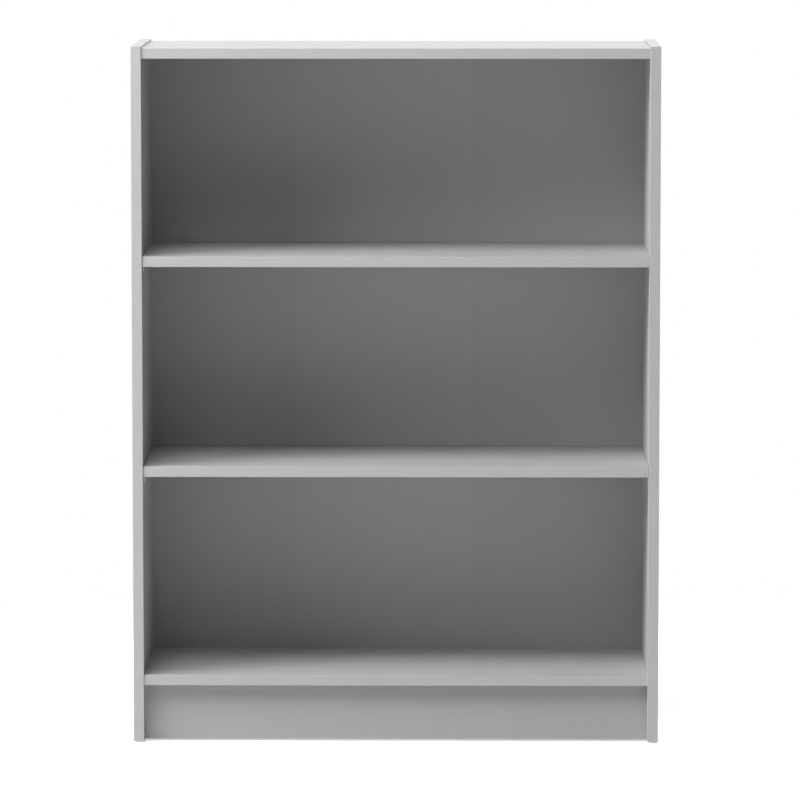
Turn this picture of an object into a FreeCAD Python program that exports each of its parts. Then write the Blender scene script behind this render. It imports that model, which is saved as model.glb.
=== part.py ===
import FreeCAD, Part
import math
import os

# Open bookcase of laminated chipboard, held together with cam fittings and dowels.
# X runs to the right, Y to the back and Z up. The origin is on the floor, under the middle of the case.

# Driving dimensions, in millimetres

# Case
overall_width = 800.0
overall_depth = 280.0  # front of the side panels to the heads of the back nails
overall_height = 1062.0  # floor to the upper ends of the side panels
board = 16.0  # thickness of every chipboard panel
base_height = 88.0  # floor to the underside of the bottom panel
top_drop = 3.0  # upper face of the top panel below the ends of the side panels
panel_setback = 2.0  # top, bottom and shelves behind the front of the side panels
plinth_recess = 20.0  # plinth behind the front of the side panels
plinth_floor_gap = 3.0
edging = 1.0  # thickness of the plastic strip on a board's edge
edging_round = 0.8

# Back
hardboard = 3.0
back_inset = 1.5  # back inside the outline of the case
right_leaf = 283.0
centre_leaf = 274.0  # the left leaf takes the rest of the width
fold_bevel = 1.0  # each half of the groove behind a fold
tape_width = 24.0
tape = 0.3
nail_pitch = 130.0  # widest spacing between nails
nail_margin = 6.0  # nails clear of the tape by this much
nail_length = 20.0
nail_diameter = 1.6
nail_head_diameter = 4.0
nail_head = 0.8

# Shelves and the pins that carry them
shelf_names = ["lower_shelf", "upper_shelf"]
shelf_end_gap = 0.5
shelf_back_gap = 2.0
pin_pitch = 32.0
pin_row_inset = 37.0  # pin rows from the front and rear edges of the side panels
spare_holes = 2  # free positions above and below each shelf
pin_diameter = 5.0
pin_width = 10.0
pin_flange = 1.2  # plate against the side panel
pin_flange_height = 12.0
pin_tongue = 2.0  # ledge under the shelf
pin_reach = 10.0

# Cam fittings
fitting_inset = 50.0  # cams from the front and rear edges of their panel
cam_offset = 34.0  # cam axis from the end of its panel
cam_diameter = 15.0
cam_wall = 2.2
cam_roof = 1.5
bolt_bore_diameter = 8.0
bolt_diameter = 6.0
bolt_collar = 2.0
bolt_head_diameter = 6.0
bolt_head = 3.0
bolt_neck_diameter = 3.6
bolt_thread_diameter = 5.0
thread_pitch = 2.0
thread_depth = 0.5
cam_slot_turn = 100.0  # degrees of the slot that the bolt's neck runs in
driver_slot_length = 9.0
driver_slot_width = 1.8
driver_slot_depth = 2.2
cap_diameter = 17.0
cap = 1.2

# Dowels
dowel_diameter = 8.0
dowel_length = 30.0
dowel_chamfer = 1.0
dowel_flutes = 16
flute_diameter = 0.8
dowel_spacing = 32.0  # from a cam fitting to the dowel beside it
plinth_dowel_inset = 20.0  # plinth dowels from its long edges

# Blocks that tie the plinth to the bottom panel
block_spacing = 400.0
block_length = 34.0
block_size = 18.0
block_round = 3.0
block_counterbore = 8.0
screw_diameter = 3.6
screw_head_diameter = 7.0
screw_head = 2.4
screw_slot_width = 0.9
screw_spacing = 16.0  # between the two screws of a block

# Feet
glide_height = 2.0
glide_diameter = 14.0
glide_chamfer = 0.8
glide_inset = 30.0  # glides from the front and rear edges of the side panels
spike_diameter = 2.4
spike_length = 14.0

# Pilot holes for a wall restraint, in the underside of the top panel
wall_hole_diameter = 3.0
wall_hole_spacing = 600.0
wall_hole_inset = 25.0  # in front of the back

# Points and heads of nails, screws and spikes
point_share = 0.2  # of the diameter, left blunt at the point
point_length = 2.0  # in diameters
crown_share = 0.75  # of a head's diameter, flat on its top

# Fits
fit_gap = 0.1  # around hardware in its hole
head_gap = 0.2  # around the heads of bolts and screws
tip_gap = 0.5  # free space at the end of a blind hole
blind_skin = 4.5  # board left behind a blind hole

# Places that follow from the dimensions
outer_x = overall_width / 2
inner_x = outer_x - board
front_y = -overall_depth / 2
leaf_rear_y = overall_depth / 2 - nail_head
leaf_front_y = leaf_rear_y - hardboard
panel_front_y = front_y + panel_setback
top_panel_z = overall_height - top_drop - board
bottom_panel_z = base_height
shelf_floor_z = bottom_panel_z + board
clear_height = top_panel_z - shelf_floor_z
shelf_step = pin_pitch * round(clear_height / (len(shelf_names) + 1) / pin_pitch)
shelf_z = {name: shelf_floor_z + shelf_step * (i + 1) - board for i, name in enumerate(shelf_names)}
pin_rows_y = [front_y + pin_row_inset, leaf_front_y - pin_row_inset]
blind_depth = board - blind_skin
blind_reach = blind_depth - tip_gap
cam_radius = cam_diameter / 2
cam_height = board / 2 + bolt_head_diameter / 2 + cam_roof
cam_rows_y = [panel_front_y + fitting_inset, leaf_front_y - fitting_inset]
dowel_rows_y = [cam_rows_y[0] + dowel_spacing, cam_rows_y[1] - dowel_spacing]
plinth_y = front_y + plinth_recess
plinth_dowel_y = plinth_y + board / 2
plinth_dowels_z = [plinth_floor_gap + plinth_dowel_inset, base_height - plinth_dowel_inset]
glide_rows_y = [front_y + glide_inset, leaf_front_y - glide_inset]
back_x = outer_x - back_inset
back_bottom_z = bottom_panel_z + back_inset
back_top_z = top_panel_z + board - back_inset
right_fold_x = back_x - right_leaf
left_fold_x = right_fold_x - centre_leaf
nail_inset = tape_width / 2 + nail_margin
block_places_x = [-block_spacing / 2, block_spacing / 2]
block_y = plinth_y + board
wall_holes_x = [-wall_hole_spacing / 2, wall_hole_spacing / 2]
sides = {"left": -1, "right": 1}

RIGHT = FreeCAD.Vector(1, 0, 0)
BACK = FreeCAD.Vector(0, 1, 0)
UP = FreeCAD.Vector(0, 0, 1)


# Shapes that the pieces are made from

def box(x, y, z):
    """A block between two values on each axis, given in either order."""
    low = FreeCAD.Vector(min(x), min(y), min(z))
    return Part.makeBox(abs(x[1] - x[0]), abs(y[1] - y[0]), abs(z[1] - z[0]), low)


def rod(start, direction, diameter, length):
    """A round bar from a point along a direction."""
    return Part.makeCylinder(diameter / 2, length, FreeCAD.Vector(*start), direction)


def turned(profile):
    """A solid turned about Z, from (height, diameter) points in order of height."""
    low, high = profile[0][0], profile[-1][0]
    points = [FreeCAD.Vector(0, 0, low)]
    points += [FreeCAD.Vector(diameter / 2, 0, height) for height, diameter in profile]
    points += [FreeCAD.Vector(0, 0, high), points[0]]
    return Part.Face(Part.makePolygon(points)).revolve(FreeCAD.Vector(), UP, 360)


def threaded(start, end, diameter):
    """Profile points of thread ridges between two heights, the crests at the diameter."""
    turns = max(1, int((end - start) / thread_pitch))
    pitch = (end - start) / turns
    root = diameter - 2 * thread_depth
    points = []
    for i in range(turns):
        points.append((start + i * pitch, root))
        points.append((start + (i + 0.5) * pitch, diameter))
    return points + [(end, root)]


def placed(solid, position, direction=UP):
    """A copy of a solid made along Z, moved to a position and turned to a direction."""
    copy = solid.copy()
    copy.Placement = FreeCAD.Placement(FreeCAD.Vector(*position), FreeCAD.Rotation(UP, direction))
    return copy


def eased(strip, wanted):
    """A strip of edging, rounded along each edge whose middle passes the test."""
    edges = [edge for edge in strip.Edges if wanted(edge.CenterOfMass)]
    return strip.makeFillet(min(edging_round, 0.9 * edging), edges)


def evenly(start, end, pitch):
    """Positions from start to end, both included, no further apart than the pitch."""
    count = max(1, math.ceil((end - start) / pitch))
    return [start + (end - start) * i / count for i in range(count + 1)]


def export(name, solids):
    """Write one piece, or one group of identical pieces, to its own STEP file."""
    whole = solids[0] if len(solids) == 1 else Part.makeCompound(solids)
    whole.exportStep(os.path.join("parts", name + ".step"))
    print(f"{name}: {len(whole.Solids)} solid(s), {whole.Volume / 1000:.1f} cm3, valid {whole.isValid()}")


# Holes, each taken from the piece that goes into it

def blind_hole(side, y, z, diameter):
    """A blind hole in the inner face of a side panel."""
    return rod((side * inner_x, y, z), RIGHT * side, diameter + 2 * fit_gap, blind_depth)


def end_dowel_hole(side, y, z):
    """A dowel's hole in the end of a panel that stands between the sides."""
    depth = dowel_length - blind_reach + tip_gap
    return rod((side * inner_x, y, z), -RIGHT * side, dowel_diameter + 2 * fit_gap, depth)


def nail_places():
    """Centres of the nail heads, as (x, z) in the plane of the back."""
    places = []
    for side in sides.values():
        for z in evenly(back_bottom_z + nail_inset, back_top_z - nail_inset, nail_pitch):
            places.append((side * (inner_x + board / 2), z))
    for z in (bottom_panel_z + board / 2, top_panel_z + board / 2):
        for low, high in leaf_spans().values():
            start = max(low, -inner_x) + nail_inset
            end = min(high, inner_x) - nail_inset
            places += [(x, z) for x in evenly(start, end, nail_pitch)]
    return places


def nail_holes():
    """The nails' paths through the back and into the boards."""
    depth = nail_length + tip_gap
    return [rod((x, leaf_rear_y, z), -BACK, nail_diameter + 2 * fit_gap, depth) for x, z in nail_places()]


def screw_holes():
    """The block screws' paths into the bottom panel and the plinth."""
    diameter = screw_diameter + 2 * fit_gap
    holes = []
    for x in block_places_x:
        holes.append(rod(upright_screw_seat(x), UP, diameter, screw_length() + tip_gap))
        holes.append(rod(level_screw_seat(x), -BACK, diameter, screw_length() + tip_gap))
    return holes


# Case panels and their edging

def side_panel(side):
    """A side panel with the holes for bolts, dowels, pins, nails and glides."""
    panel = box(
        (side * inner_x, side * outer_x),
        (front_y + edging, leaf_front_y),
        (glide_height, overall_height - edging),
    )
    holes = nail_holes()
    for z in (bottom_panel_z + board / 2, top_panel_z + board / 2):
        holes += [blind_hole(side, y, z, bolt_thread_diameter) for y in cam_rows_y]
        holes += [blind_hole(side, y, z, dowel_diameter) for y in dowel_rows_y]
    holes += [blind_hole(side, plinth_dowel_y, z, dowel_diameter) for z in plinth_dowels_z]
    for shelf in shelf_names:
        for step in range(-spare_holes, spare_holes + 1):
            z = pin_axis_z(shelf) + step * pin_pitch
            holes += [blind_hole(side, y, z, pin_diameter) for y in pin_rows_y]
    for y in glide_rows_y:
        centre = (side * (inner_x + board / 2), y, glide_height)
        holes.append(rod(centre, UP, spike_diameter + 2 * fit_gap, spike_length + tip_gap))
    return panel.cut(holes)


def side_front_edging(side):
    """The strip up the whole front of a side panel."""
    strip = box(
        (side * inner_x, side * outer_x),
        (front_y, front_y + edging),
        (glide_height, overall_height),
    )
    return eased(strip, lambda middle: middle.y < front_y + edging / 4)


def side_top_edging(side):
    """The strip over the upper end of a side panel, behind the front strip."""
    strip = box(
        (side * inner_x, side * outer_x),
        (front_y + edging, leaf_front_y),
        (overall_height - edging, overall_height),
    )
    centre_x = side * (inner_x + board / 2)
    return eased(
        strip,
        lambda middle: middle.z > overall_height - edging / 4 and abs(middle.x - centre_x) > board / 4,
    )


def panel_edging(half_width, z):
    """The strip along the front of a level panel whose underside is at z."""
    strip = box((-half_width, half_width), (panel_front_y, panel_front_y + edging), (z, z + board))
    return eased(
        strip,
        lambda middle: middle.y < panel_front_y + edging / 4 and abs(middle.x) < half_width / 2,
    )


def fixed_panel(z, more_holes):
    """The top or bottom panel, with its cam pockets in the underside and its end bores."""
    panel = box((-inner_x, inner_x), (panel_front_y + edging, leaf_front_y), (z, z + board))
    middle_z = z + board / 2
    holes = nail_holes() + more_holes
    for side in sides.values():
        for y in cam_rows_y:
            pocket = (side * (inner_x - cam_offset), y, z)
            holes.append(rod(pocket, UP, cam_diameter + 2 * fit_gap, cam_height + fit_gap))
            holes.append(rod((side * inner_x, y, middle_z), -RIGHT * side, bolt_bore_diameter, cam_offset))
        holes += [end_dowel_hole(side, y, middle_z) for y in dowel_rows_y]
    return panel.cut(holes)


def wall_holes():
    """Pilot holes for a wall restraint, near the back of the top panel's underside."""
    y = leaf_front_y - wall_hole_inset
    return [rod((x, y, top_panel_z), UP, wall_hole_diameter, blind_depth) for x in wall_holes_x]


def plinth_board():
    """The recessed board under the bottom panel, with its end and screw holes."""
    panel = box((-inner_x, inner_x), (plinth_y, plinth_y + board), (plinth_floor_gap, base_height))
    holes = screw_holes()
    for side in sides.values():
        holes += [end_dowel_hole(side, plinth_dowel_y, z) for z in plinth_dowels_z]
    return panel.cut(holes)


# Back

def leaf_spans():
    """Each leaf's left and right edges."""
    return {
        "left": (-back_x, left_fold_x),
        "centre": (left_fold_x, right_fold_x),
        "right": (right_fold_x, back_x),
    }


def back_leaf(low, high):
    """One leaf of the folded back, bevelled behind where it meets its neighbour."""
    low_bevel = fold_bevel if low > -back_x else 0
    high_bevel = fold_bevel if high < back_x else 0
    outline = [(low, leaf_front_y), (high, leaf_front_y), (high, leaf_rear_y - high_bevel)]
    if high_bevel:
        outline.append((high - high_bevel, leaf_rear_y))
    outline.append((low + low_bevel, leaf_rear_y))
    if low_bevel:
        outline.append((low, leaf_rear_y - low_bevel))
    points = [FreeCAD.Vector(x, y, back_bottom_z) for x, y in outline]
    face = Part.Face(Part.makePolygon(points + points[:1]))
    return face.extrude(UP * (back_top_z - back_bottom_z)).cut(nail_holes())


def fold_tape(fold_x):
    """The paper tape that hinges two leaves, over the groove behind their fold."""
    across = (fold_x - tape_width / 2, fold_x + tape_width / 2)
    return box(across, (leaf_rear_y, leaf_rear_y + tape), (back_bottom_z, back_top_z))


def back_nails():
    """Flat-headed nails around the back, the heads against its rear face."""
    nail = turned([
        (-nail_length, point_share * nail_diameter),
        (point_length * nail_diameter - nail_length, nail_diameter),
        (0, nail_diameter),
        (0, nail_head_diameter),
        (nail_head / 2, nail_head_diameter),
        (nail_head, crown_share * nail_head_diameter),
    ])
    return [placed(nail, (x, leaf_rear_y, z), BACK) for x, z in nail_places()]


# Shelves and pins

def shelf(name):
    """A loose shelf without its edging."""
    half_width = inner_x - shelf_end_gap
    z = shelf_z[name]
    rear_y = leaf_front_y - shelf_back_gap
    return box((-half_width, half_width), (panel_front_y + edging, rear_y), (z, z + board))


def pin_axis_z(name):
    """Height of the pins that carry a shelf."""
    return shelf_z[name] - pin_flange_height / 2


def shelf_pins(name):
    """The four pins under a shelf: a shank in the panel, a flange on it and a ledge."""
    top_z = shelf_z[name]
    pins = []
    for side in sides.values():
        for y in pin_rows_y:
            across_y = (y - pin_width / 2, y + pin_width / 2)
            face_x = side * inner_x
            shank = rod((face_x, y, pin_axis_z(name)), RIGHT * side, pin_diameter, blind_reach)
            flange = box((face_x - side * pin_flange, face_x), across_y, (top_z - pin_flange_height, top_z))
            ledge = box((face_x - side * pin_reach, face_x), across_y, (top_z - pin_tongue, top_z))
            pins.append(shank.fuse([flange, ledge]).removeSplitter())
    return pins


# Cam fittings, dowels and caps

def cam_bolt():
    """A connecting bolt along Z: thread in the side panel below 0, head in the cam above."""
    neck_start = cam_offset - cam_radius - head_gap
    chamber_radius = cam_radius - cam_wall
    head_start = cam_offset - math.sqrt((chamber_radius - fit_gap) ** 2 - (bolt_head_diameter / 2) ** 2)
    collar_diameter = bolt_bore_diameter - 2 * head_gap
    return turned(
        threaded(-blind_reach, 0, bolt_thread_diameter)
        + [
            (0, collar_diameter),
            (bolt_collar, collar_diameter),
            (bolt_collar, bolt_diameter),
            (neck_start, bolt_diameter),
            (neck_start, bolt_neck_diameter),
            (head_start, bolt_neck_diameter),
            (head_start, bolt_head_diameter),
            (head_start + bolt_head / 2, bolt_head_diameter),
            (head_start + bolt_head, crown_share * bolt_head_diameter),
        ]
    )


def cam_bolts(panel_z):
    """The bolts of one level panel, screwed into both side panels."""
    bolt = cam_bolt()
    z = panel_z + board / 2
    return [
        placed(bolt, (side * inner_x, y, z), -RIGHT * side)
        for side in sides.values()
        for y in cam_rows_y
    ]


def cam_nut():
    """A locked cam about Z, its driver face at 0 and its bolt coming from +X."""
    axis_z = board / 2
    room = bolt_head_diameter + 2 * head_gap
    slot = bolt_neck_diameter + 2 * head_gap
    body = Part.makeCylinder(cam_radius, cam_height)
    chamber = rod((0, 0, axis_z - room / 2), UP, cam_diameter - 2 * cam_wall, room)
    entry = rod((0, 0, axis_z), BACK, room, cam_diameter)
    slot_foot = FreeCAD.Vector(0, 0, axis_z - slot / 2)
    neck_slot = Part.makeCylinder(cam_diameter, slot, slot_foot, UP, cam_slot_turn)
    neck_slot.rotate(FreeCAD.Vector(), UP, 90 - cam_slot_turn)
    neck_way = box((0, cam_diameter), (-slot / 2, slot / 2), (axis_z - slot / 2, axis_z + slot / 2))
    half_length = driver_slot_length / 2
    half_width = driver_slot_width / 2
    driver = [
        box((-half_length, half_length), (-half_width, half_width), (0, driver_slot_depth)),
        box((-half_width, half_width), (-half_length, half_length), (0, driver_slot_depth)),
    ]
    return body.cut([chamber, entry, neck_slot, neck_way] + driver)


def cam_nuts(panel_z):
    """The cams of one level panel, flush with its underside."""
    nuts = []
    for side in sides.values():
        for y in cam_rows_y:
            nut = cam_nut()
            nut.rotate(FreeCAD.Vector(), UP, 0 if side > 0 else 180)
            nut.translate(FreeCAD.Vector(side * (inner_x - cam_offset), y, panel_z))
            nuts.append(nut)
    return nuts


def cam_caps():
    """Caps over the top panel's cams, each with a stub in the driver slot."""
    stub = driver_slot_width - 2 * fit_gap
    piece = turned([
        (-cap, cap_diameter - cap),
        (-cap / 2, cap_diameter),
        (0, cap_diameter),
        (0, stub),
        (driver_slot_depth - fit_gap, stub),
    ])
    return [
        placed(piece, (side * (inner_x - cam_offset), y, top_panel_z))
        for side in sides.values()
        for y in cam_rows_y
    ]


def dowel():
    """A fluted dowel along Z from 0."""
    peg = turned([
        (0, dowel_diameter - 2 * dowel_chamfer),
        (dowel_chamfer, dowel_diameter),
        (dowel_length - dowel_chamfer, dowel_diameter),
        (dowel_length, dowel_diameter - 2 * dowel_chamfer),
    ])
    flutes = []
    for i in range(dowel_flutes):
        angle = 2 * math.pi * i / dowel_flutes
        start = (dowel_diameter / 2 * math.cos(angle), dowel_diameter / 2 * math.sin(angle), 0)
        flutes.append(rod(start, UP, flute_diameter, dowel_length))
    return peg.cut(flutes)


def dowels(places):
    """Dowels at both ends of a panel, at (y, z) places, each part way into a side panel."""
    peg = dowel()
    return [
        placed(peg, (side * (inner_x + blind_reach), y, z), -RIGHT * side)
        for side in sides.values()
        for y, z in places
    ]


# Plinth blocks and screws

def screw_length():
    """Screw length below the head: through the block's web and into the board."""
    return block_size - block_counterbore + blind_reach


def upright_screw_seat(block_x):
    """Where the head of the screw into the bottom panel bears."""
    seat_z = base_height - block_size + block_counterbore
    return (block_x - screw_spacing / 2, block_y + block_size / 2, seat_z)


def level_screw_seat(block_x):
    """Where the head of the screw into the plinth bears."""
    seat_y = block_y + block_size - block_counterbore
    return (block_x + screw_spacing / 2, seat_y, base_height - block_size / 2)


def plinth_block(x):
    """A corner block against the plinth and the bottom panel."""
    body = box(
        (x - block_length / 2, x + block_length / 2),
        (block_y, block_y + block_size),
        (base_height - block_size, base_height),
    )
    outer_edge = [
        edge
        for edge in body.Edges
        if edge.CenterOfMass.y > block_y + 0.9 * block_size
        and edge.CenterOfMass.z < base_height - 0.9 * block_size
    ]
    body = body.makeFillet(block_round, outer_edge)
    head_room = screw_head_diameter + 2 * head_gap
    counterbores = [
        rod(upright_screw_seat(x), -UP, head_room, block_size),
        rod(level_screw_seat(x), BACK, head_room, block_size),
    ]
    return body.cut(counterbores + screw_holes())


def block_screws():
    """Two pan-headed screws in each block."""
    screw = turned(
        [(-screw_length(), point_share * screw_diameter)]
        + threaded(point_length * screw_diameter - screw_length(), -thread_pitch, screw_diameter)
        + [
            (0, screw_diameter - 2 * thread_depth),
            (0, screw_head_diameter),
            (screw_head / 2, screw_head_diameter),
            (screw_head, crown_share * screw_head_diameter),
        ]
    )
    half_slot = crown_share * screw_head_diameter / 2
    half_width = screw_slot_width / 2
    across_z = (screw_head / 2, screw_head)
    screw = screw.cut([
        box((-half_slot, half_slot), (-half_width, half_width), across_z),
        box((-half_width, half_width), (-half_slot, half_slot), across_z),
    ])
    screws = []
    for x in block_places_x:
        screws.append(placed(screw, upright_screw_seat(x), -UP))
        screws.append(placed(screw, level_screw_seat(x), BACK))
    return screws


# Feet

def floor_glides():
    """Nail-on glides under the side panels."""
    glide = turned([
        (0, glide_diameter - 2 * glide_chamfer),
        (glide_chamfer, glide_diameter),
        (glide_height, glide_diameter),
        (glide_height, spike_diameter),
        (glide_height + spike_length - point_length * spike_diameter, spike_diameter),
        (glide_height + spike_length, point_share * spike_diameter),
    ])
    return [
        placed(glide, (side * (inner_x + board / 2), y, 0))
        for side in sides.values()
        for y in glide_rows_y
    ]


def main():
    os.makedirs("parts", exist_ok=True)
    for name, side in sides.items():
        export(f"{name}_side_panel", [side_panel(side)])
        export(f"{name}_side_front_edging", [side_front_edging(side)])
        export(f"{name}_side_top_edging", [side_top_edging(side)])

    export("top_panel", [fixed_panel(top_panel_z, wall_holes())])
    export("top_panel_edging", [panel_edging(inner_x, top_panel_z)])
    export("bottom_panel", [fixed_panel(bottom_panel_z, screw_holes())])
    export("bottom_panel_edging", [panel_edging(inner_x, bottom_panel_z)])
    export("plinth_board", [plinth_board()])

    for name, (low, high) in leaf_spans().items():
        export(f"{name}_back_leaf", [back_leaf(low, high)])
    export("left_fold_tape", [fold_tape(left_fold_x)])
    export("right_fold_tape", [fold_tape(right_fold_x)])
    export("back_nails", back_nails())

    for name in shelf_names:
        export(name, [shelf(name)])
        export(f"{name}_edging", [panel_edging(inner_x - shelf_end_gap, shelf_z[name])])
        export(f"{name}_pins", shelf_pins(name))

    for name, z in (("top", top_panel_z), ("bottom", bottom_panel_z)):
        export(f"{name}_cam_bolts", cam_bolts(z))
        export(f"{name}_cam_nuts", cam_nuts(z))
        export(f"{name}_dowels", dowels([(y, z + board / 2) for y in dowel_rows_y]))
    export("cam_caps", cam_caps())
    export("plinth_dowels", dowels([(plinth_dowel_y, z) for z in plinth_dowels_z]))
    for name, x in zip(sides, block_places_x):
        export(f"{name}_plinth_block", [plinth_block(x)])
    export("plinth_block_screws", block_screws())
    export("floor_glides", floor_glides())


main()
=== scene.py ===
# %% [markdown]
# # A low open bookcase in grey foil
#
# The real thing is a flat-pack case: chipboard panels covered in a smooth grey foil, plastic strips on
# the edges that show, two loose shelves on pins and a thin back that folds in three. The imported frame
# already holds every piece at its true size. This lesson dresses that frame: it sets the camera, makes
# the finishes out of shader nodes, rebuilds the few pieces whose shape needs more than the frame gives,
# and lights it.

# %% Load the frame
import math

import bmesh
import bpy
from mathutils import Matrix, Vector


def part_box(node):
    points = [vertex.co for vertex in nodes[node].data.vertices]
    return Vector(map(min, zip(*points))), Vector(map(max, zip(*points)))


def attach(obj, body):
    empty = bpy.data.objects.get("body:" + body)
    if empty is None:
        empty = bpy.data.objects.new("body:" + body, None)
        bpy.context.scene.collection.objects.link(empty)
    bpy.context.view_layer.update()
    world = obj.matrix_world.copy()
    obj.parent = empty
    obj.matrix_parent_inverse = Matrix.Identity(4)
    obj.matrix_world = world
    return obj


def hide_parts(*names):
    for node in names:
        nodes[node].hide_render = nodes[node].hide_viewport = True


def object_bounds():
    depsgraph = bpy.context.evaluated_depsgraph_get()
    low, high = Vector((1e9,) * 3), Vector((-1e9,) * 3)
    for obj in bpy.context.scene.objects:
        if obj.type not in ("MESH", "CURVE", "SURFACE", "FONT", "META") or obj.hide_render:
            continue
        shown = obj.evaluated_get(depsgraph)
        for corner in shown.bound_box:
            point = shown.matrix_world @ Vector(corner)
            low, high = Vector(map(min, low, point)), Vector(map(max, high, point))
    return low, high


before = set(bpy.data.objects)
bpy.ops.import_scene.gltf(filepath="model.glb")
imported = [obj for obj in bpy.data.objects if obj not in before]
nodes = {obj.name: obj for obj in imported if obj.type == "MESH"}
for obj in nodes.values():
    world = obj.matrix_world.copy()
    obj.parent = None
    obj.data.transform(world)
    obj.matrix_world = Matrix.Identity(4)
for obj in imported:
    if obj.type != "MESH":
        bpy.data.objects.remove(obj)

cad_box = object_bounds()
case_low, case_high = cad_box
scene = bpy.context.scene
scene.view_settings.view_transform = "Standard"
print("frame:", len(nodes), "nodes,", [round(side, 3) for side in case_high - case_low], "m")

# %% [markdown]
# ## Camera
#
# A catalogue picture of furniture is taken from far away with a long lens, so that the sides stay almost
# parallel. The vanishing lines of the shelves say where the camera stood: about eight metres off, a
# little to the right, and higher than the case. It could be levelled and shifted like a view camera, but
# a shift would throw the case out of the picture in every other view, so the camera simply looks down a
# little.

# %% Place the camera
stand_off = 8.2
stand_right = 0.094
eye_height = 1.395
aim = Vector((0.0066, case_low.y, 0.5264))
focal_length = 244.7

camera_data = bpy.data.cameras.new("catalogue_camera")
camera_data.lens = focal_length
camera_data.sensor_width = 36.0
camera_data.clip_end = 100.0
camera = bpy.data.objects.new("catalogue_camera", camera_data)
scene.collection.objects.link(camera)
camera.location = (stand_right, case_low.y - stand_off, eye_height)
camera.rotation_euler = (aim - camera.location).to_track_quat("-Z", "Y").to_euler()
scene.camera = camera
print("camera:", [round(value, 3) for value in camera.location], "lens", focal_length, "mm")

# %% [markdown]
# ## A short way to write node trees
#
# Shader trees are wide, and clicking or scripting them node by node hides the idea behind them. A mask or
# a roughness is easier to read as a sum. So a `Socket` stands for one output of a node, and ordinary
# arithmetic on it adds the Math nodes.

# %% Arithmetic on sockets
class Socket:
    """One output of a node. Arithmetic on it adds Math nodes to the same tree."""

    def __init__(self, graph, output):
        self.graph = graph
        self.output = output

    def other(self, name):
        """Another output of the same node."""
        return Socket(self.graph, self.output.node.outputs[name])

    def math(self, operation, first, second=0.0):
        return self.graph.node("ShaderNodeMath", {"operation": operation}, {0: first, 1: second})

    def __add__(self, value):
        return self.math("ADD", self, value)

    def __radd__(self, value):
        return self.math("ADD", value, self)

    def __sub__(self, value):
        return self.math("SUBTRACT", self, value)

    def __rsub__(self, value):
        return self.math("SUBTRACT", value, self)

    def __mul__(self, value):
        return self.math("MULTIPLY", self, value)

    def __rmul__(self, value):
        return self.math("MULTIPLY", value, self)

    def __lt__(self, value):
        return self.math("LESS_THAN", self, value)

    def __gt__(self, value):
        return self.math("GREATER_THAN", self, value)

    def __abs__(self):
        return self.math("ABSOLUTE", self)


print("sockets can be added, subtracted, multiplied and compared")

# %% [markdown]
# Every other node is added in one call that names its type, its settings, and the values or links of its
# inputs. The same `Graph` serves materials, the world and, further on, Geometry Nodes.

# %% Any other node in one call
class Graph:
    """A node tree that takes one call per node."""

    def __init__(self, tree):
        self.tree = tree

    def link(self, wire, target):
        self.tree.links.new(wire.output, target)

    def node(self, kind, settings=None, inputs=None, output=0):
        """A new node. Its settings come first, because they decide which inputs it has."""
        made = self.tree.nodes.new(kind)
        for name, value in (settings or {}).items():
            setattr(made, name, value)
        for key, value in (inputs or {}).items():
            if isinstance(value, Socket):
                self.link(value, made.inputs[key])
            else:
                made.inputs[key].default_value = value
        return Socket(self, made.outputs[output])


print("graphs take one call per node")

# %% [markdown]
# A finish on this bookcase is always the same few things: a colour that drifts a little, a roughness and
# a fine relief. They are placed by the piece's own coordinates, so that they stay on a shelf when it
# slides. Each material could repeat those nodes, but a `Finish` wraps them once around a Principled
# shader, so that a material reads as a recipe.

# %% Finishes
def shade(colour, factor):
    """A colour made lighter or darker by a factor."""
    return tuple(channel * factor for channel in colour)


class Finish(Graph):
    """A material around one Principled shader. Constants go straight onto its sockets."""

    def __init__(self, name, constants=None):
        self.material = bpy.data.materials.new(name)
        self.material.use_nodes = True
        super().__init__(self.material.node_tree)
        self.shader = self.tree.nodes["Principled BSDF"]
        for socket, value in (constants or {}).items():
            self.shader.inputs[socket].default_value = value

    def feed(self, socket, wire):
        self.link(wire, self.shader.inputs[socket])

    def place(self, stretch=(1, 1, 1)):
        """The piece's own coordinates in metres, stretched along an axis where grain runs."""
        spot = self.node("ShaderNodeTexCoord", output="Object")
        return self.node("ShaderNodeMapping", {}, {"Vector": spot, "Scale": stretch})

    def along(self, axis):
        """The piece's own X, Y or Z as a number."""
        return self.node("ShaderNodeSeparateXYZ", {}, {"Vector": self.place()}, output=axis)

    def facing(self, axis):
        """X, Y or Z of the surface's direction, in the piece's own frame."""
        direction = self.node("ShaderNodeTexCoord", output="Normal")
        return self.node("ShaderNodeSeparateXYZ", {}, {"Vector": direction}, output=axis)

    def noise(self, per_metre, detail=2.0, stretch=(1, 1, 1)):
        """Soft noise from 0 to 1, its grain given in cycles per metre."""
        inputs = {"Vector": self.place(stretch), "Scale": per_metre, "Detail": detail}
        return self.node("ShaderNodeTexNoise", {}, inputs)

    def cells(self, per_metre, stretch=(1, 1, 1), output="Distance"):
        """Voronoi cells: the distance to each cell's middle, or a random colour per cell."""
        inputs = {"Vector": self.place(stretch), "Scale": per_metre}
        return self.node("ShaderNodeTexVoronoi", {}, inputs, output=output)

    def mix(self, share, first, second):
        """Two colours mixed: the first at 0, the second at 1."""
        colours = [value if isinstance(value, Socket) else (*value, 1.0) for value in (first, second)]
        inputs = {0: share, 6: colours[0], 7: colours[1]}
        return self.node("ShaderNodeMix", {"data_type": "RGBA"}, inputs, output=2)

    def varied(self, share, colour, drift):
        """A colour that goes from a little darker at 0 to a little lighter at 1."""
        return self.mix(share, shade(colour, 1 - drift), shade(colour, 1 + drift))

    def bump(self, height, depth):
        """Relief from a height that runs from 0 to 1 over the depth given in metres."""
        self.feed("Normal", self.node("ShaderNodeBump", {}, {"Height": height, "Distance": depth}))


print("finishes have noise, cells, mixed colours and relief")

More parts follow.
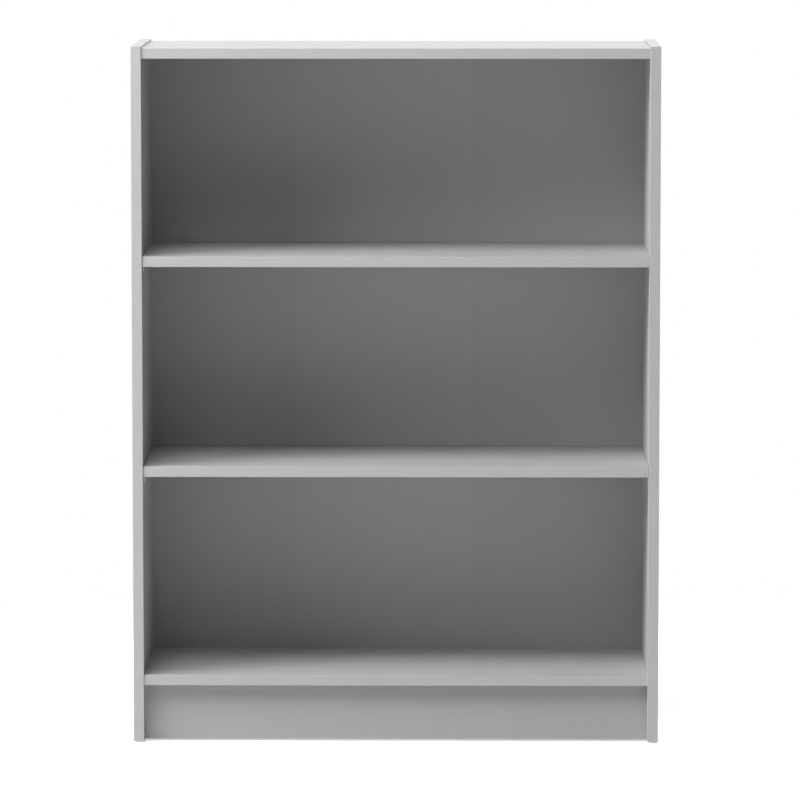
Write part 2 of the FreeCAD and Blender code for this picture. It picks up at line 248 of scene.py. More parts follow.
# %% [markdown]
# ## Foil on chipboard
#
# Each panel is chipboard with a printed paper foil pressed on its two broad faces. The foil has a faint
# mottle, and it stops at a dark hairline of glue where a plastic strip is stuck to the front edge. The
# grey could be a plain colour, but even a printed grey drifts a little over a metre, and a flat one looks
# like paint.

# %% The foil's print
MM = 0.001
FOIL = (0.405, 0.408, 0.410)
glue_line = 0.3 * MM
glue_cover = 0.35
glue_darkness = 0.35


def printed_foil(finish, colour, mottle):
    """Grey print that drifts a little."""
    return finish.varied(mottle, colour, drift=0.025)


def glued_edge(finish, printed, colour, front):
    """The print with a dark line of glue along its front edge."""
    glue = finish.along("Y") < front + glue_line
    return finish.mix(glue * glue_cover, printed, shade(colour, glue_darkness))


print("foil grey:", FOIL, "with a glue line of", round(glue_line / MM, 2), "mm")

# %% [markdown]
# Everywhere a panel was sawn or bored after pressing, on the rear edges, the ends and inside every hole,
# the chips show: coarse flakes in the core and fine dust near the faces. A photograph of an edge would do
# for one side. Cells and noise in the panel's own coordinates run through the board, so that every cut
# shows them.

# %% The chips inside
CHIP_LIGHT = (0.62, 0.49, 0.33)
CHIP_DARK = (0.36, 0.25, 0.15)
skin_layer = 3.0 * MM
flake_stretch = 0.4


def chip_tone(finish, across, depth):
    """Light and dark of the chips, from their depth below the nearest broad face."""
    stretch = (flake_stretch, 1, 1) if across == "Z" else (1, 1, flake_stretch)
    flake_colours = finish.cells(per_metre=330, stretch=stretch, output="Color")
    flakes = finish.node("ShaderNodeSeparateColor", {}, {"Color": flake_colours}, output="Red")
    dust = finish.noise(per_metre=1900, detail=3)
    core = depth > skin_layer
    return core * flakes + (1 - core) * dust


print("chips below", round(skin_layer / MM, 1), "mm are coarse")

# %% [markdown]
# The two could be two materials on two sets of faces, but the frame's meshes stay as they are. One
# material can do both: a point belongs to the foil if it lies exactly on one of the two broad faces. The
# plinth has no strip, and its foil is darkened as painted shade for its recess under the bottom panel.

# %% Panels of foiled chipboard
AXES = {"X": 0, "Y": 1, "Z": 2}
face_tolerance = 0.15 * MM
sawn_roughness = 0.9
pore_share = 0.12
# Painted shade: the plinth's foil is darkened to stand in for the shade under the bottom panel
plinth_painted_shade = 0.82


def dress(finish, *names):
    """Give a finish to frame nodes, which keep their own meshes."""
    for name in names:
        for slot in nodes[name].material_slots:
            slot.material = finish.material


def foiled_board(panel, across, foil_colour=FOIL, has_strip=True):
    """Foil on the two faces that are square to the axis across, chipboard on the rest."""
    low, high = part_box(panel)
    finish = Finish(f"foil_{panel}")
    level = finish.along(across)
    to_low = abs(level - low[AXES[across]])
    to_high = abs(level - high[AXES[across]])
    foil = (to_low < face_tolerance) + (to_high < face_tolerance)
    depth = finish.node("ShaderNodeMath", {"operation": "MINIMUM"}, {0: to_low, 1: to_high})

    mottle = finish.noise(per_metre=9, detail=3)
    pores = finish.noise(per_metre=1300)
    printed = printed_foil(finish, foil_colour, mottle)
    if has_strip:
        printed = glued_edge(finish, printed, foil_colour, low.y)
    tone = chip_tone(finish, across, depth)
    chips = finish.mix(tone, CHIP_DARK, CHIP_LIGHT)

    foil_roughness = 0.52 + 0.10 * mottle
    finish.feed("Base Color", finish.mix(foil, chips, printed))
    finish.feed("Roughness", foil * foil_roughness + (1 - foil) * sawn_roughness)
    finish.bump(foil * pores * pore_share + (1 - foil) * tone, depth=0.25 * MM)
    dress(finish, panel)


panels = {
    "left_side_panel": "X",
    "right_side_panel": "X",
    "top_panel": "Z",
    "bottom_panel": "Z",
    "upper_shelf": "Z",
    "lower_shelf": "Z",
}
for panel, across in panels.items():
    foiled_board(panel, across)
# The plinth gets the darkened foil, painted shade for its recess under the bottom panel
foiled_board("plinth_board", "Y", foil_colour=shade(FOIL, plinth_painted_shade), has_strip=False)
print("foiled panels:", len(panels) + 1)

# %% [markdown]
# ## Plastic edge strips
#
# The strips are a millimetre of grey plastic, glued on and scraped flush. Scraping leaves faint lines
# along the strip, so the noise is stretched along the strip's own length. The strip is a little glossier
# than the foil, which is how the two are told apart in raking light.

# %% Strips along the edges
STRIP = (0.402, 0.404, 0.405)
scrape_stretch = 0.02


def edge_strip(name, lengthwise, strips):
    """Plastic with scraper lines that run along one axis."""
    stretch = [1, 1, 1]
    stretch[AXES[lengthwise]] = scrape_stretch
    finish = Finish(name)
    lines = finish.noise(per_metre=1600, stretch=stretch)
    cloud = finish.noise(per_metre=25)
    finish.feed("Base Color", finish.varied(cloud, STRIP, drift=0.02))
    finish.feed("Roughness", 0.36 + 0.12 * lines)
    finish.bump(lines, depth=0.02 * MM)
    dress(finish, *strips)


upright_strips = ["left_side_front_edging", "right_side_front_edging"]
end_strips = ["left_side_top_edging", "right_side_top_edging"]
level_strips = ["top_panel_edging", "bottom_panel_edging", "upper_shelf_edging", "lower_shelf_edging"]
edge_strip("strip_upright", "Z", upright_strips)
edge_strip("strip_over_ends", "Y", end_strips)
edge_strip("strip_level", "X", level_strips)
print("edge strips:", len(upright_strips + end_strips + level_strips))

# %% [markdown]
# ## The folded back
#
# The back is thin hardboard in three leaves that fold flat for packing. It is nailed around its border
# only, so the folds push it backwards by a millimetre or two at mid height. One rule for that bow is
# shared by all three leaves and both tapes, so that they still meet at the folds.

# %% The bow of the back
left_low, left_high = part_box("left_back_leaf")
right_low, right_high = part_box("right_back_leaf")
leaf_front, leaf_rear = left_low.y, left_high.y
left_fold, right_fold = left_high.x, right_low.x
left_push = 1.6 * MM
right_push = 1.2 * MM


def bow(x, z):
    """How far the back is pushed to the rear at a point: none along its border, most at the folds."""
    if x < left_fold:
        push = left_push * (x - left_low.x) / (left_fold - left_low.x)
    elif x < right_fold:
        push = left_push + (right_push - left_push) * (x - left_fold) / (right_fold - left_fold)
    else:
        push = right_push * (right_high.x - x) / (right_high.x - right_fold)
    return push * math.sin(math.pi * (z - left_low.z) / (left_high.z - left_low.z))


print("back folds at", round(left_fold, 4), "and", round(right_fold, 4))

# %% [markdown]
# The frame's leaves are flat, and bending them would need a subdivided copy. It is cleaner to loft a new
# sheet from columns and rows of points. Each point is a pair, one on the front and one on the rear, and
# the pairs on the border close the sheet.

# %% Sheets that follow the bow
sheet_rows = 64


def bowed_sheet(name, columns, levels, front, thickness):
    """A closed sheet that follows the bow. A column is (x, how much its rear edge is planed off)."""
    start, end = levels
    grid = bmesh.new()
    rows = []
    for index in range(sheet_rows + 1):
        z = start + (end - start) * index / sheet_rows
        row = []
        for x, planed in columns:
            y = front + bow(x, z)
            row.append((grid.verts.new((x, y, z)), grid.verts.new((x, y + thickness - planed, z))))
        rows.append(row)
    for lower, upper in zip(rows, rows[1:]):
        for here, there in zip(range(len(columns)), range(1, len(columns))):
            grid.faces.new((lower[here][0], lower[there][0], upper[there][0], upper[here][0]))
            grid.faces.new((lower[there][1], lower[here][1], upper[here][1], upper[there][1]))
        grid.faces.new((lower[0][1], lower[0][0], upper[0][0], upper[0][1]))
        grid.faces.new((lower[-1][0], lower[-1][1], upper[-1][1], upper[-1][0]))
    first, last = rows[0], rows[-1]
    for here, there in zip(range(len(columns)), range(1, len(columns))):
        grid.faces.new((first[here][1], first[there][1], first[there][0], first[here][0]))
        grid.faces.new((last[here][0], last[there][0], last[there][1], last[here][1]))
    bmesh.ops.recalc_face_normals(grid, faces=grid.faces)
    mesh = bpy.data.meshes.new(name)
    grid.to_mesh(mesh)
    grid.free()
    return mesh


print("sheets have", sheet_rows, "rows")

# %% [markdown]
# A new piece has to take the place of the frame's own: it rides on a body and hides the nodes that it
# replaces. Its object stays at the origin, with its place in its mesh, as the frame's nodes do.

# %% Putting a piece in place
def add_piece(name, mesh, finish, body, slot, *replaced):
    """A new piece with its finish, riding on a body in place of the frame's nodes."""
    mesh.materials.clear()
    mesh.materials.append(finish.material)
    made = bpy.data.objects.new(name, mesh)
    scene.collection.objects.link(made)
    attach(made, body)
    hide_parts(*replaced)
    print(name, "rides on", body, "with", len(mesh.polygons), "faces")


# %% [markdown]
# The front of each leaf carries grey foil, a shade cooler than that of the panels and darker, as painted
# shade for the dim inside of the compartments. The middle leaf is painted a little lighter than the outer
# two, standing in for the steps of shade where the leaves meet at an angle at the folds. The rear is bare
# hardboard: dark brown, pressed against a wire screen that leaves its weave behind. Which side a point is
# on follows from the way its surface faces.

# %% Foil and hardboard
# Darker than FOIL: painted shade for the dim inside of the compartments
BACK_FOIL_PAINTED_SHADE = (0.347, 0.353, 0.357)
HARDBOARD_LIGHT = (0.33, 0.20, 0.105)
HARDBOARD_DARK = (0.16, 0.085, 0.038)
screen_pitch = 1.6 * MM
faces_that_way = 0.5


def back_leaf_finish(name, tone):
    """Foil on the front, the weave of a wire screen on the rear."""
    finish = Finish(name)
    front = finish.facing("Y") < -faces_that_way
    rear = finish.facing("Y") > faces_that_way
    mottle = finish.noise(per_metre=7, detail=3)
    pores = finish.noise(per_metre=1100)
    # The print carries painted shade: darkened for the back, and lighter or darker per leaf by its tone
    printed = finish.varied(mottle, shade(BACK_FOIL_PAINTED_SHADE, tone), drift=0.02)
    turns = math.tau / screen_pitch
    wires = [
        finish.node("ShaderNodeMath", {"operation": "SINE"}, {0: finish.along(axis) * turns})
        for axis in ("X", "Z")
    ]
    screen = (wires[0] * wires[1]) * 0.5 + 0.5
    fibres = finish.noise(per_metre=420, detail=4)
    clouds = finish.noise(per_metre=11, detail=4, stretch=(1, 1, 0.5))
    brown = finish.mix(fibres * 0.5 + clouds * 0.35 + screen * 0.15, HARDBOARD_DARK, HARDBOARD_LIGHT)
    finish.feed("Base Color", finish.mix(front, brown, printed))
    finish.feed("Roughness", front * (0.38 + 0.10 * mottle) + (1 - front) * 0.8)
    finish.bump(front * pores * 0.1 + rear * (screen * 0.7 + fibres * 0.3), depth=0.2 * MM)
    return finish


print("screen marks every", round(screen_pitch / MM, 2), "mm")

# %% [markdown]
# Each leaf is planed off along its rear at a fold, so that the back can be folded shut without crushing
# the tape. Two close columns of points at each edge make that bevel.

# %% Leaves of the back
fold_bevel = 1.0 * MM
leaf_columns = 14
# Painted light and shade: the middle leaf lighter than the outer two, for the shading steps at the folds
outer_leaf_painted_shade = 0.985
middle_leaf_painted_light = 1.015


def spread(start, end, count):
    """Evenly spaced values from start to end."""
    return [start + (end - start) * index / count for index in range(count + 1)]


def add_leaf(leaf, tone, bevel_left, bevel_right):
    low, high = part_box(leaf)
    inner = spread(low.x + fold_bevel, high.x - fold_bevel, leaf_columns)
    columns = [(low.x, bevel_left), *[(x, 0.0) for x in inner], (high.x, bevel_right)]
    mesh = bowed_sheet(f"{leaf}_sheet", columns, (low.z, high.z), leaf_front, leaf_rear - leaf_front)
    finish = back_leaf_finish(f"hardboard_{leaf}", tone)
    add_piece(f"{leaf}_sheet", mesh, finish, "carcass", "back_hardboard", leaf)


add_leaf("left_back_leaf", outer_leaf_painted_shade, bevel_left=0.0, bevel_right=fold_bevel)
add_leaf("centre_back_leaf", middle_leaf_painted_light, bevel_left=fold_bevel, bevel_right=fold_bevel)
add_leaf("right_back_leaf", outer_leaf_painted_shade, bevel_left=fold_bevel, bevel_right=0.0)

# %% [markdown]
# The hinges of the back are two strips of gummed brown paper. Wet paper cockles as it dries, so the tape
# has a fine crinkle across its length and long fibres in the pulp.

# %% Paper tapes over the folds
KRAFT_LIGHT = (0.56, 0.40, 0.235)
KRAFT_DARK = (0.40, 0.27, 0.145)
tape_finish = Finish("kraft_tape", {"Specular IOR Level": 0.35})
pulp = tape_finish.noise(per_metre=260, detail=5, stretch=(1, 1, 0.25))
crinkle = tape_finish.noise(per_metre=90, detail=3, stretch=(0.3, 1, 1))
tape_finish.feed("Base Color", tape_finish.mix(pulp * 0.7 + crinkle * 0.3, KRAFT_DARK, KRAFT_LIGHT))
tape_finish.feed("Roughness", 0.55 + 0.25 * pulp)
tape_finish.bump(crinkle * 0.8 + pulp * 0.2, depth=0.35 * MM)

for tape, fold in (("left_fold_tape", left_fold), ("right_fold_tape", right_fold)):
    low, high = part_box(tape)
    columns = [(x, 0.0) for x in (low.x, (low.x + fold) / 2, fold, (fold + high.x) / 2, high.x)]
    mesh = bowed_sheet(f"{tape}_strip", columns, (low.z, high.z), low.y, high.y - low.y)
    add_piece(f"{tape}_strip", mesh, tape_finish, "carcass", "paper_tape", tape)

# %% [markdown]
# ## Small turned pieces
#
# Nails and cover caps repeat, so Geometry Nodes make them, one on each of a cloud of points. The points
# could be typed in, but the frame knows them: a merged copy of a node's mesh falls apart into its
# separate solids, and each solid's box says where its piece belongs.

# %% The solids in a frame node
merge_within = 0.001 * MM


def solids_in(node):
    """The box of each separate solid in a frame node, from a merged copy of its mesh."""
    copy = bmesh.new()
    copy.from_mesh(nodes[node].data)
    bmesh.ops.remove_doubles(copy, verts=copy.verts, dist=merge_within)
    waiting = dict.fromkeys(copy.verts)
    boxes = []
    while waiting:
        edge_of_search = [waiting.popitem()[0]]
        corners = []
        while edge_of_search:
            vertex = edge_of_search.pop()
            corners.append(vertex.co.copy())
            for edge in vertex.link_edges:
                neighbour = edge.other_vert(vertex)
                if neighbour in waiting:
                    del waiting[neighbour]
                    edge_of_search.append(neighbour)
        boxes.append(tuple(Vector(map(pick, zip(*corners))) for pick in (min, max)))
    copy.free()
    return sorted(boxes, key=lambda box: [round(value, 4) for value in box[0]])


nail_boxes = solids_in("back_nails")
cap_boxes = solids_in("cam_caps")
print("solids:", len(nail_boxes), "nails and", len(cap_boxes), "caps")

# %% [markdown]
# A Geometry Nodes tree takes those points in and gives geometry out. Its sizes are named inputs, which
# the modifier sets by their identifiers. The result is turned into a plain mesh, because an export would
# drop what only the modifier shows.

# %% A tree that works on points
class PointTree(Graph):
    """A Geometry Nodes tree with named sizes that runs on a cloud of points."""

    def __init__(self, name):
        super().__init__(bpy.data.node_groups.new(name, "GeometryNodeTree"))
        sockets = self.tree.interface
        sockets.new_socket("Geometry", in_out="INPUT", socket_type="NodeSocketGeometry")
        sockets.new_socket("Geometry", in_out="OUTPUT", socket_type="NodeSocketGeometry")
        self.given = self.tree.nodes.new("NodeGroupInput")
        self.result = self.tree.nodes.new("NodeGroupOutput")
        self.values = {}

    def size(self, name, value):
        """A named input of the tree, in metres or radians."""
        socket = self.tree.interface.new_socket(name, in_out="INPUT", socket_type="NodeSocketFloat")
        self.values[socket.identifier] = value
        return Socket(self, self.given.outputs[name])

    def mesh(self, name, points):
        """The tree's result on these points, as a plain mesh."""
        cloud = bpy.data.meshes.new(f"{name}_points")
        cloud.from_pydata(points, [], [])
        carrier = bpy.data.objects.new(f"{name}_points", cloud)
        scene.collection.objects.link(carrier)
        modifier = carrier.modifiers.new("turned", "NODES")
        modifier.node_group = self.tree
        for identifier, value in self.values.items():
            modifier[identifier] = value
        evaluated = carrier.evaluated_get(bpy.context.evaluated_depsgraph_get())
        plain = bpy.data.meshes.new_from_object(evaluated)
        carrier.modifiers.remove(modifier)
        bpy.data.objects.remove(carrier)
        plain.name = name
        return plain


print("point trees ready")

# %% [markdown]
# Each piece is a solid of revolution. Spinning a profile would leave a seam and a pole to close. Here a
# disc is pulled up ring by ring instead, and each new top is scaled to the ring's radius, so the solid is
# closed from the start. Only the disc it grew from has to be turned over, to be its underside.

# %% A turned solid
def turned(tree, rings, sides):
    """A closed solid of revolution along +Z, from rings of (height, radius)."""
    (height, radius), *upward = rings
    inputs = {"Vertices": sides, "Radius": radius}
    disc = tree.node("GeometryNodeMeshCircle", {"fill_type": "NGON"}, inputs)
    start = tree.node("ShaderNodeCombineXYZ", {}, {"Z": height})
    disc = tree.node("GeometryNodeTransform", {}, {"Geometry": disc, "Translation": start})
    solid, top = disc, True
    for next_height, next_radius in upward:
        inputs = {
            "Mesh": solid,
            "Selection": top,
            "Offset": (0, 0, 1),
            "Offset Scale": next_height - height,
            "Individual": False,
        }
        solid = tree.node("GeometryNodeExtrudeMesh", {"mode": "FACES"}, inputs)
        top = solid.other("Top")
        growth = tree.node("ShaderNodeMath", {"operation": "DIVIDE"}, {0: next_radius, 1: radius})
        inputs = {"Geometry": solid, "Selection": top, "Scale": growth}
        solid = tree.node("GeometryNodeScaleElements", {"domain": "FACE"}, inputs)
        height, radius = next_height, next_radius
    underside = tree.node("GeometryNodeFlipFaces", {}, {"Mesh": disc})
    both = tree.node("GeometryNodeJoinGeometry")
    for half in (solid, underside):
        tree.link(half, both.output.node.inputs[0])
    return tree.node("GeometryNodeMergeByDistance", {}, {"Geometry": both, "Distance": merge_within})


print("turned solids ready")

# %% [markdown]
# The tree then puts one solid on each point. What is driven in by hand never stands quite straight, so
# each can get a small lean, and a spin about its own axis, from seeded random values.

# %% One solid on each point
def scatter(tree, solid, turn, lean, finish, seed):
    """One solid per point, turned about X by turn, with its own lean and spin."""
    def random(low, high, draw):
        inputs = {2: low, 3: high, "Seed": draw}
        return tree.node("FunctionNodeRandomValue", {"data_type": "FLOAT"}, inputs, output=1)

    tilt = random(lean * -1, lean, seed) + turn
    tilted = tree.node("ShaderNodeCombineXYZ", {}, {"X": tilt})
    inputs = {"Points": Socket(tree, tree.given.outputs[0]), "Instance": solid, "Rotation": tilted}
    placed = tree.node("GeometryNodeInstanceOnPoints", {}, inputs)
    spin = tree.node("ShaderNodeCombineXYZ", {}, {"Z": random(0.0, math.tau, seed + 1)})
    inputs = {"Instances": placed, "Rotation": spin, "Local Space": True}
    spun = tree.node("GeometryNodeRotateInstances", {}, inputs)
    real = tree.node("GeometryNodeRealizeInstances", {}, {"Geometry": spun})
    done = tree.node("GeometryNodeSetMaterial", {}, {"Geometry": real, "Material": finish.material})
    tree.link(done, tree.result.inputs[0])


def smooth_over(mesh, degrees):
    """Smooth shading, with edges kept sharp where faces turn by more than the angle."""
    mesh.shade_smooth()
    mesh.set_sharp_from_angle(angle=math.radians(degrees))


print("scatter ready")

# %% [markdown]
# The nails are bright zinc-plated steel with thin crowned heads. They were driven by hand, so each leans
# by a degree or so and sits in the hardboard with its own spin. The plating has a slightly cloudy shine.

# %% Nails around the back
ZINC = (0.60, 0.61, 0.62)
nail_finish = Finish("zinc_plate", {"Metallic": 1.0})
cloud = nail_finish.noise(per_metre=700, detail=3)
nail_finish.feed("Base Color", nail_finish.mix(cloud, shade(ZINC, 0.8), shade(ZINC, 1.1)))
nail_finish.feed("Roughness", 0.25 + 0.25 * cloud)
nail_finish.bump(cloud, depth=0.03 * MM)

first_low, first_high = nail_boxes[0]
head_height = case_high.y - leaf_rear
nails = PointTree("nails")
head_radius = nails.size("Head radius", (first_high.x - first_low.x) / 2)
shank_radius = nails.size("Shank radius", 0.8 * MM)
head = nails.size("Head", head_height)
shank = nails.size("Shank", first_high.y - first_low.y - head_height)
lean = nails.size("Lean", math.radians(1.2))
# From the point up the shank, out to the rim of the head and over its crown
nail_rings = [
    (shank * -1, shank_radius * 0.15),
    (shank * -0.87, shank_radius),
    (shank * 0, shank_radius),
    (shank * 0, head_radius * 0.95),
    (head * 0.2, head_radius),
    (head * 0.5, head_radius * 0.97),
    (head * 0.85, head_radius * 0.75),
    (head, head_radius * 0.3),
]
nail = turned(nails, nail_rings, sides=20)
scatter(nails, nail, turn=-math.pi / 2, lean=lean, finish=nail_finish, seed=11)
nail_points = [((low.x + high.x) / 2, leaf_rear, (low.z + high.z) / 2) for low, high in nail_boxes]
nail_mesh = nails.mesh("back_nails_turned", nail_points)
smooth_over(nail_mesh, 40)
add_piece("back_nails_turned", nail_mesh, nail_finish, "carcass", "bright_steel", "back_nails")

# %% [markdown]
# Press-in caps hide the cams under the top panel. They are moulded plastic, with a soft edge, a shallow
# dish where the mould's ejector pushed, and a stub that grips the cam's driver slot. The plinth blocks
# and the glides under the sides are plastic too. Their frame shapes are right, so they only take the
# finish, in a paler colour.

# %% Moulded plastic
CAP_GREY = (0.42, 0.423, 0.425)
PALE_PLASTIC = (0.72, 0.72, 0.70)


def moulded_plastic(name, colour):
    """Moulded plastic with a fine spark-eroded texture."""
    finish = Finish(name)
    texture = finish.noise(per_metre=1500)
    cloud = finish.noise(per_metre=40)
    finish.feed("Base Color", finish.varied(cloud, colour, drift=0.04))
    finish.feed("Roughness", 0.42 + 0.14 * texture)
    finish.bump(texture, depth=0.03 * MM)
    return finish


pale_plastic = moulded_plastic("pale_plastic", PALE_PLASTIC)
dress(pale_plastic, "left_plinth_block", "right_plinth_block", "floor_glides")
print("plinth blocks and glides dressed")

# %% Caps over the cams
cap_plastic = moulded_plastic("grey_cap_plastic", CAP_GREY)
panel_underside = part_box("top_panel")[0].z
first_low, first_high = cap_boxes[0]
caps = PointTree("cam_caps")
cap_radius = caps.size("Radius", (first_high.x - first_low.x) / 2)
cap_height = caps.size("Height", panel_underside - first_low.z)
stub_length = caps.size("Stub length", first_high.z - panel_underside)
stub_radius = caps.size("Stub radius", 0.8 * MM)
no_lean = caps.size("Lean", 0.0)
# From the tip of the stub, out to the rim, over the soft edge and into the dish
cap_rings = [
    (stub_length * -1, stub_radius),
    (cap_height * 0, stub_radius),
    (cap_height * 0, cap_radius),
    (cap_height * 0.45, cap_radius),
    (cap_height * 0.75, cap_radius * 0.985),
    (cap_height * 0.95, cap_radius * 0.95),
    (cap_height, cap_radius * 0.9),
    (cap_height, cap_radius * 0.62),
    (cap_height * 0.8, cap_radius * 0.55),
    (cap_height * 0.7, cap_radius * 0.2),
]
cap = turned(caps, cap_rings, sides=48)
scatter(caps, cap, turn=math.pi, lean=no_lean, finish=cap_plastic, seed=21)
cap_points = [((low.x + high.x) / 2, (low.y + high.y) / 2, panel_underside) for low, high in cap_boxes]
cap_mesh = caps.mesh("cam_caps_moulded", cap_points)
smooth_over(cap_mesh, 50)
add_piece("cam_caps_moulded", cap_mesh, cap_plastic, "carcass", "grey_plastic", "cam_caps")

# %% [markdown]
# ## Hidden fittings
#
# Cam bolts, cams, dowels and screws hardly show, but they can be seen from below and when the case is
# taken apart.
# Their frame shapes are right, so they only need finishes: zinc plate, dull cast zinc with a grainy skin,
# and beech with its grain along the dowel.

# %% Cams, bolts and screws
CAST_DARK = (0.40, 0.40, 0.39)
CAST_LIGHT = (0.56, 0.56, 0.55)
cast_finish = Finish("cast_zinc", {"Metallic": 1.0})
skin = cast_finish.noise(per_metre=900, detail=4)
cast_finish.feed("Base Color", cast_finish.mix(skin, CAST_DARK, CAST_LIGHT))
cast_finish.feed("Roughness", 0.42 + 0.2 * skin)
cast_finish.bump(skin, depth=0.06 * MM)
dress(cast_finish, "top_cam_nuts", "bottom_cam_nuts")
dress(nail_finish, "top_cam_bolts", "bottom_cam_bolts", "plinth_block_screws")
print("cams, bolts and screws dressed")

# %% Dowels
BEECH_LIGHT = (0.66, 0.45, 0.26)
BEECH_DARK = (0.50, 0.31, 0.16)
beech_finish = Finish("beech_dowel", {"Specular IOR Level": 0.35})
grain = beech_finish.noise(per_metre=900, detail=4, stretch=(0.06, 1, 1))
flecks = beech_finish.cells(per_metre=1500, stretch=(0.12, 1, 1))
beech_finish.feed("Base Color", beech_finish.mix(grain * 0.8 + flecks * 0.2, BEECH_LIGHT, BEECH_DARK))
beech_finish.feed("Roughness", 0.55 + 0.2 * grain)
beech_finish.bump(grain, depth=0.08 * MM)
dress(beech_finish, "top_dowels", "bottom_dowels", "plinth_dowels")
print("dowels dressed")

# %% [markdown]
# ## Shelf pins
#
# A shelf pin is pressed from nickel-plated steel, so none of its edges is sharp. It could be modelled
# again from scratch, but the frame's pin is right apart from its edges. So a merged copy of it goes
# through a small Bevel, which only works on a mesh whose triangles are joined.

# %% Nickel plate
NICKEL_DARK = (0.36, 0.36, 0.35)
NICKEL_LIGHT = (0.46, 0.46, 0.45)
nickel_finish = Finish("nickel_plate", {"Metallic": 1.0})
drawn = nickel_finish.noise(per_metre=800, detail=3, stretch=(1, 0.1, 1))
nickel_finish.feed("Base Color", nickel_finish.mix(drawn, NICKEL_DARK, NICKEL_LIGHT))
nickel_finish.feed("Roughness", 0.35 + 0.2 * drawn)
nickel_finish.bump(drawn, depth=0.02 * MM)
print("nickel ready")

# %% Shelf pins with rounded edges
pin_rounding = 0.3 * MM
flat_below = math.radians(1)
sharp_above = math.radians(50)


def rounded_copy(node, width, segments):
    """A merged copy of a frame node's mesh with its sharp edges rounded."""
    shape = bmesh.new()
    shape.from_mesh(nodes[node].data)
    bmesh.ops.remove_doubles(shape, verts=shape.verts, dist=merge_within)
    bmesh.ops.dissolve_limit(
        shape, angle_limit=flat_below, verts=shape.verts, edges=shape.edges, delimit={"NORMAL"}
    )
    mesh = bpy.data.meshes.new(f"{node}_rounded")
    shape.to_mesh(mesh)
    shape.free()
    carrier = bpy.data.objects.new(f"{node}_carrier", mesh)
    scene.collection.objects.link(carrier)
    modifier = carrier.modifiers.new("rounding", "BEVEL")
    modifier.width = width
    modifier.segments = segments
    modifier.limit_method = "ANGLE"
    modifier.angle_limit = sharp_above
    evaluated = carrier.evaluated_get(bpy.context.evaluated_depsgraph_get())
    rounded = bpy.data.meshes.new_from_object(evaluated)
    bpy.data.objects.remove(carrier)
    smooth_over(rounded, 40)
    return rounded


for shelf in ("lower_shelf", "upper_shelf"):
    pins = rounded_copy(f"{shelf}_pins", width=pin_rounding, segments=2)
    add_piece(f"{shelf}_pins_rounded", pins, nickel_finish, "carcass", "nickel_pin", f"{shelf}_pins")

# %% [markdown]
# ## Floor
#
# The case stands on a pale studio floor, which throws light back up under the shelves and onto the
# plinth. In the picture that floor is white. Lighting it until it burns out would burn out the case too,
# so the floor is a wide pale disc that gets a little light of its own, but only where the camera or a
# reflection looks at it. It then reads as white, fades into the background and still keeps the case's
# shadow.

# %% Floor disc
floor_radius = 9.0
floor_gap = 0.5 * MM
floor_mesh = bpy.data.meshes.new("studio_floor")
disc = bmesh.new()
bmesh.ops.create_circle(disc, cap_ends=True, segments=96, radius=floor_radius)
disc.to_mesh(floor_mesh)
disc.free()
floor = bpy.data.objects.new("studio_floor", floor_mesh)
scene.collection.objects.link(floor)
floor.location.z = -floor_gap
print("floor radius", floor_radius, "m")

# %% [markdown]
# Light Path tells which kind of ray has reached the floor. Rays that carry light into the case see only
# the pale floor. Rays from the camera see it with its own light added, and far from the case see plain
# white. From below the floor is clear, so that the underside of the case can be looked at.

# %% Floor finish
PALE = (0.88, 0.88, 0.88)
own_light = 0.52
plain_from = 0.75
plain_to = 1.5


def seen_directly(graph):
    """1 for rays from the camera and for rays by way of gloss or glass, 0 for the rest."""
    camera_ray = graph.node("ShaderNodeLightPath", output="Is Camera Ray")
    either = camera_ray + camera_ray.other("Is Glossy Ray") + camera_ray.other("Is Transmission Ray")
    return either > 0.5


floor_finish = Finish("studio_floor", {"Roughness": 1.0, "Specular IOR Level": 0.0})
floor_finish.shader.inputs["Base Color"].default_value = (*PALE, 1.0)
from_middle = {0: floor_finish.place()}
distance = floor_finish.node("ShaderNodeVectorMath", {"operation": "LENGTH"}, from_middle, "Value")
far = floor_finish.node(
    "ShaderNodeMapRange",
    {"interpolation_type": "SMOOTHSTEP"},
    {"Value": distance, "From Min": plain_from, "From Max": plain_to},
)
seen = seen_directly(floor_finish)
lifted = floor_finish.node("ShaderNodeEmission", {}, {"Strength": own_light})
white = floor_finish.node("ShaderNodeEmission", {}, {"Strength": 1.0})
pale = Socket(floor_finish, floor_finish.shader.outputs[0])
near_camera = floor_finish.node("ShaderNodeAddShader", {}, {0: pale, 1: lifted})
to_camera = floor_finish.node("ShaderNodeMixShader", {}, {0: far, 1: near_camera, 2: white})
whole = floor_finish.node("ShaderNodeMixShader", {}, {0: seen, 1: pale, 2: to_camera})
from_below = floor_finish.node("ShaderNodeNewGeometry", output="Backfacing")
clear = floor_finish.node("ShaderNodeBsdfTransparent")
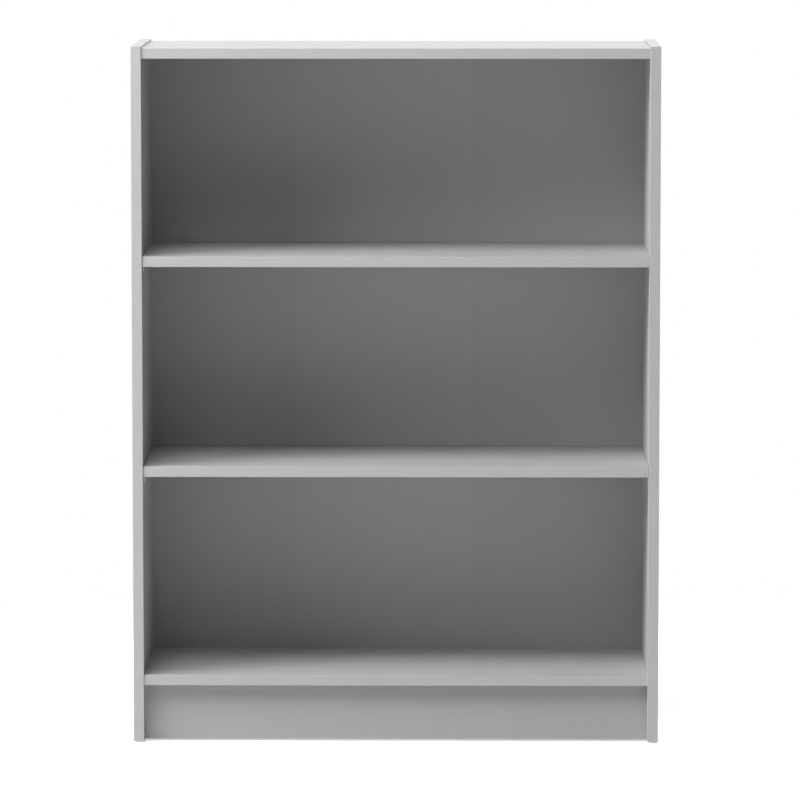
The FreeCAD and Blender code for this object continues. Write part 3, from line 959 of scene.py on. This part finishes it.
one_sided = floor_finish.node("ShaderNodeMixShader", {}, {0: from_below, 1: whole, 2: clear})
floor_finish.link(one_sided, floor_finish.tree.nodes["Material Output"].inputs["Surface"])
floor_mesh.materials.append(floor_finish.material)
print("floor is plain white from", plain_to, "m outwards")

# %% [markdown]
# ## Light
#
# The shading inside the case says how the picture was lit. The back darkens evenly towards its lower left
# corner and is bright on the right, so the light is broad, stands on the left and is near. One large lamp
# gives the side but not the even slope. A row of three soft boxes does, climbing from low on the left to
# high in front, with a weak card near the floor to open the corners. A bank in front lights the edge
# strips, and a bank behind the case lights its top, and its back for views from there. The room is white,
# but only to the camera and in reflections, and adds no light.

# %% A white room
world = bpy.data.worlds.new("white_room")
scene.world = world
world.use_nodes = True
room = Graph(world.node_tree)
background = world.node_tree.nodes["Background"]
background.inputs["Color"].default_value = (1, 1, 1, 1)
room.link(seen_directly(room), background.inputs["Strength"])
print("background is white where it is seen")

# %% Soft boxes
lamp_target = Vector((0.0, case_low.y, case_high.z / 2))
# Degrees to the right of the front, degrees up, distance and size in metres, power in watts
lamps = {
    "left_card": (-58, 3, 4.7, 1.6, 20.0),
    "left_box_low": (-75, 25, 3.2, 1.3, 55.0),
    "left_box_middle": (-60, 35, 3.2, 1.3, 40.0),
    "left_box_high": (-35, 60, 3.2, 1.3, 46.0),
    "front_bank": (-10, 50, 9.0, 3.6, 211.0),
    "rear_bank": (150, 50, 5.0, 2.0, 145.0),
}


def soft_lamp(name, azimuth, elevation, distance, size, power):
    """A square soft box aimed at the middle of the case's front."""
    turn, rise = math.radians(azimuth), math.radians(elevation)
    level = math.cos(rise)
    direction = Vector((math.sin(turn) * level, -math.cos(turn) * level, math.sin(rise)))
    data = bpy.data.lights.new(name, "AREA")
    data.shape = "SQUARE"
    data.size = size
    data.energy = power
    lamp = bpy.data.objects.new(name, data)
    scene.collection.objects.link(lamp)
    lamp.location = lamp_target + direction * distance
    lamp.rotation_euler = (-direction).to_track_quat("-Z", "Y").to_euler()


for name, place in lamps.items():
    soft_lamp(name, *place)
print("lamps:", len(lamps))
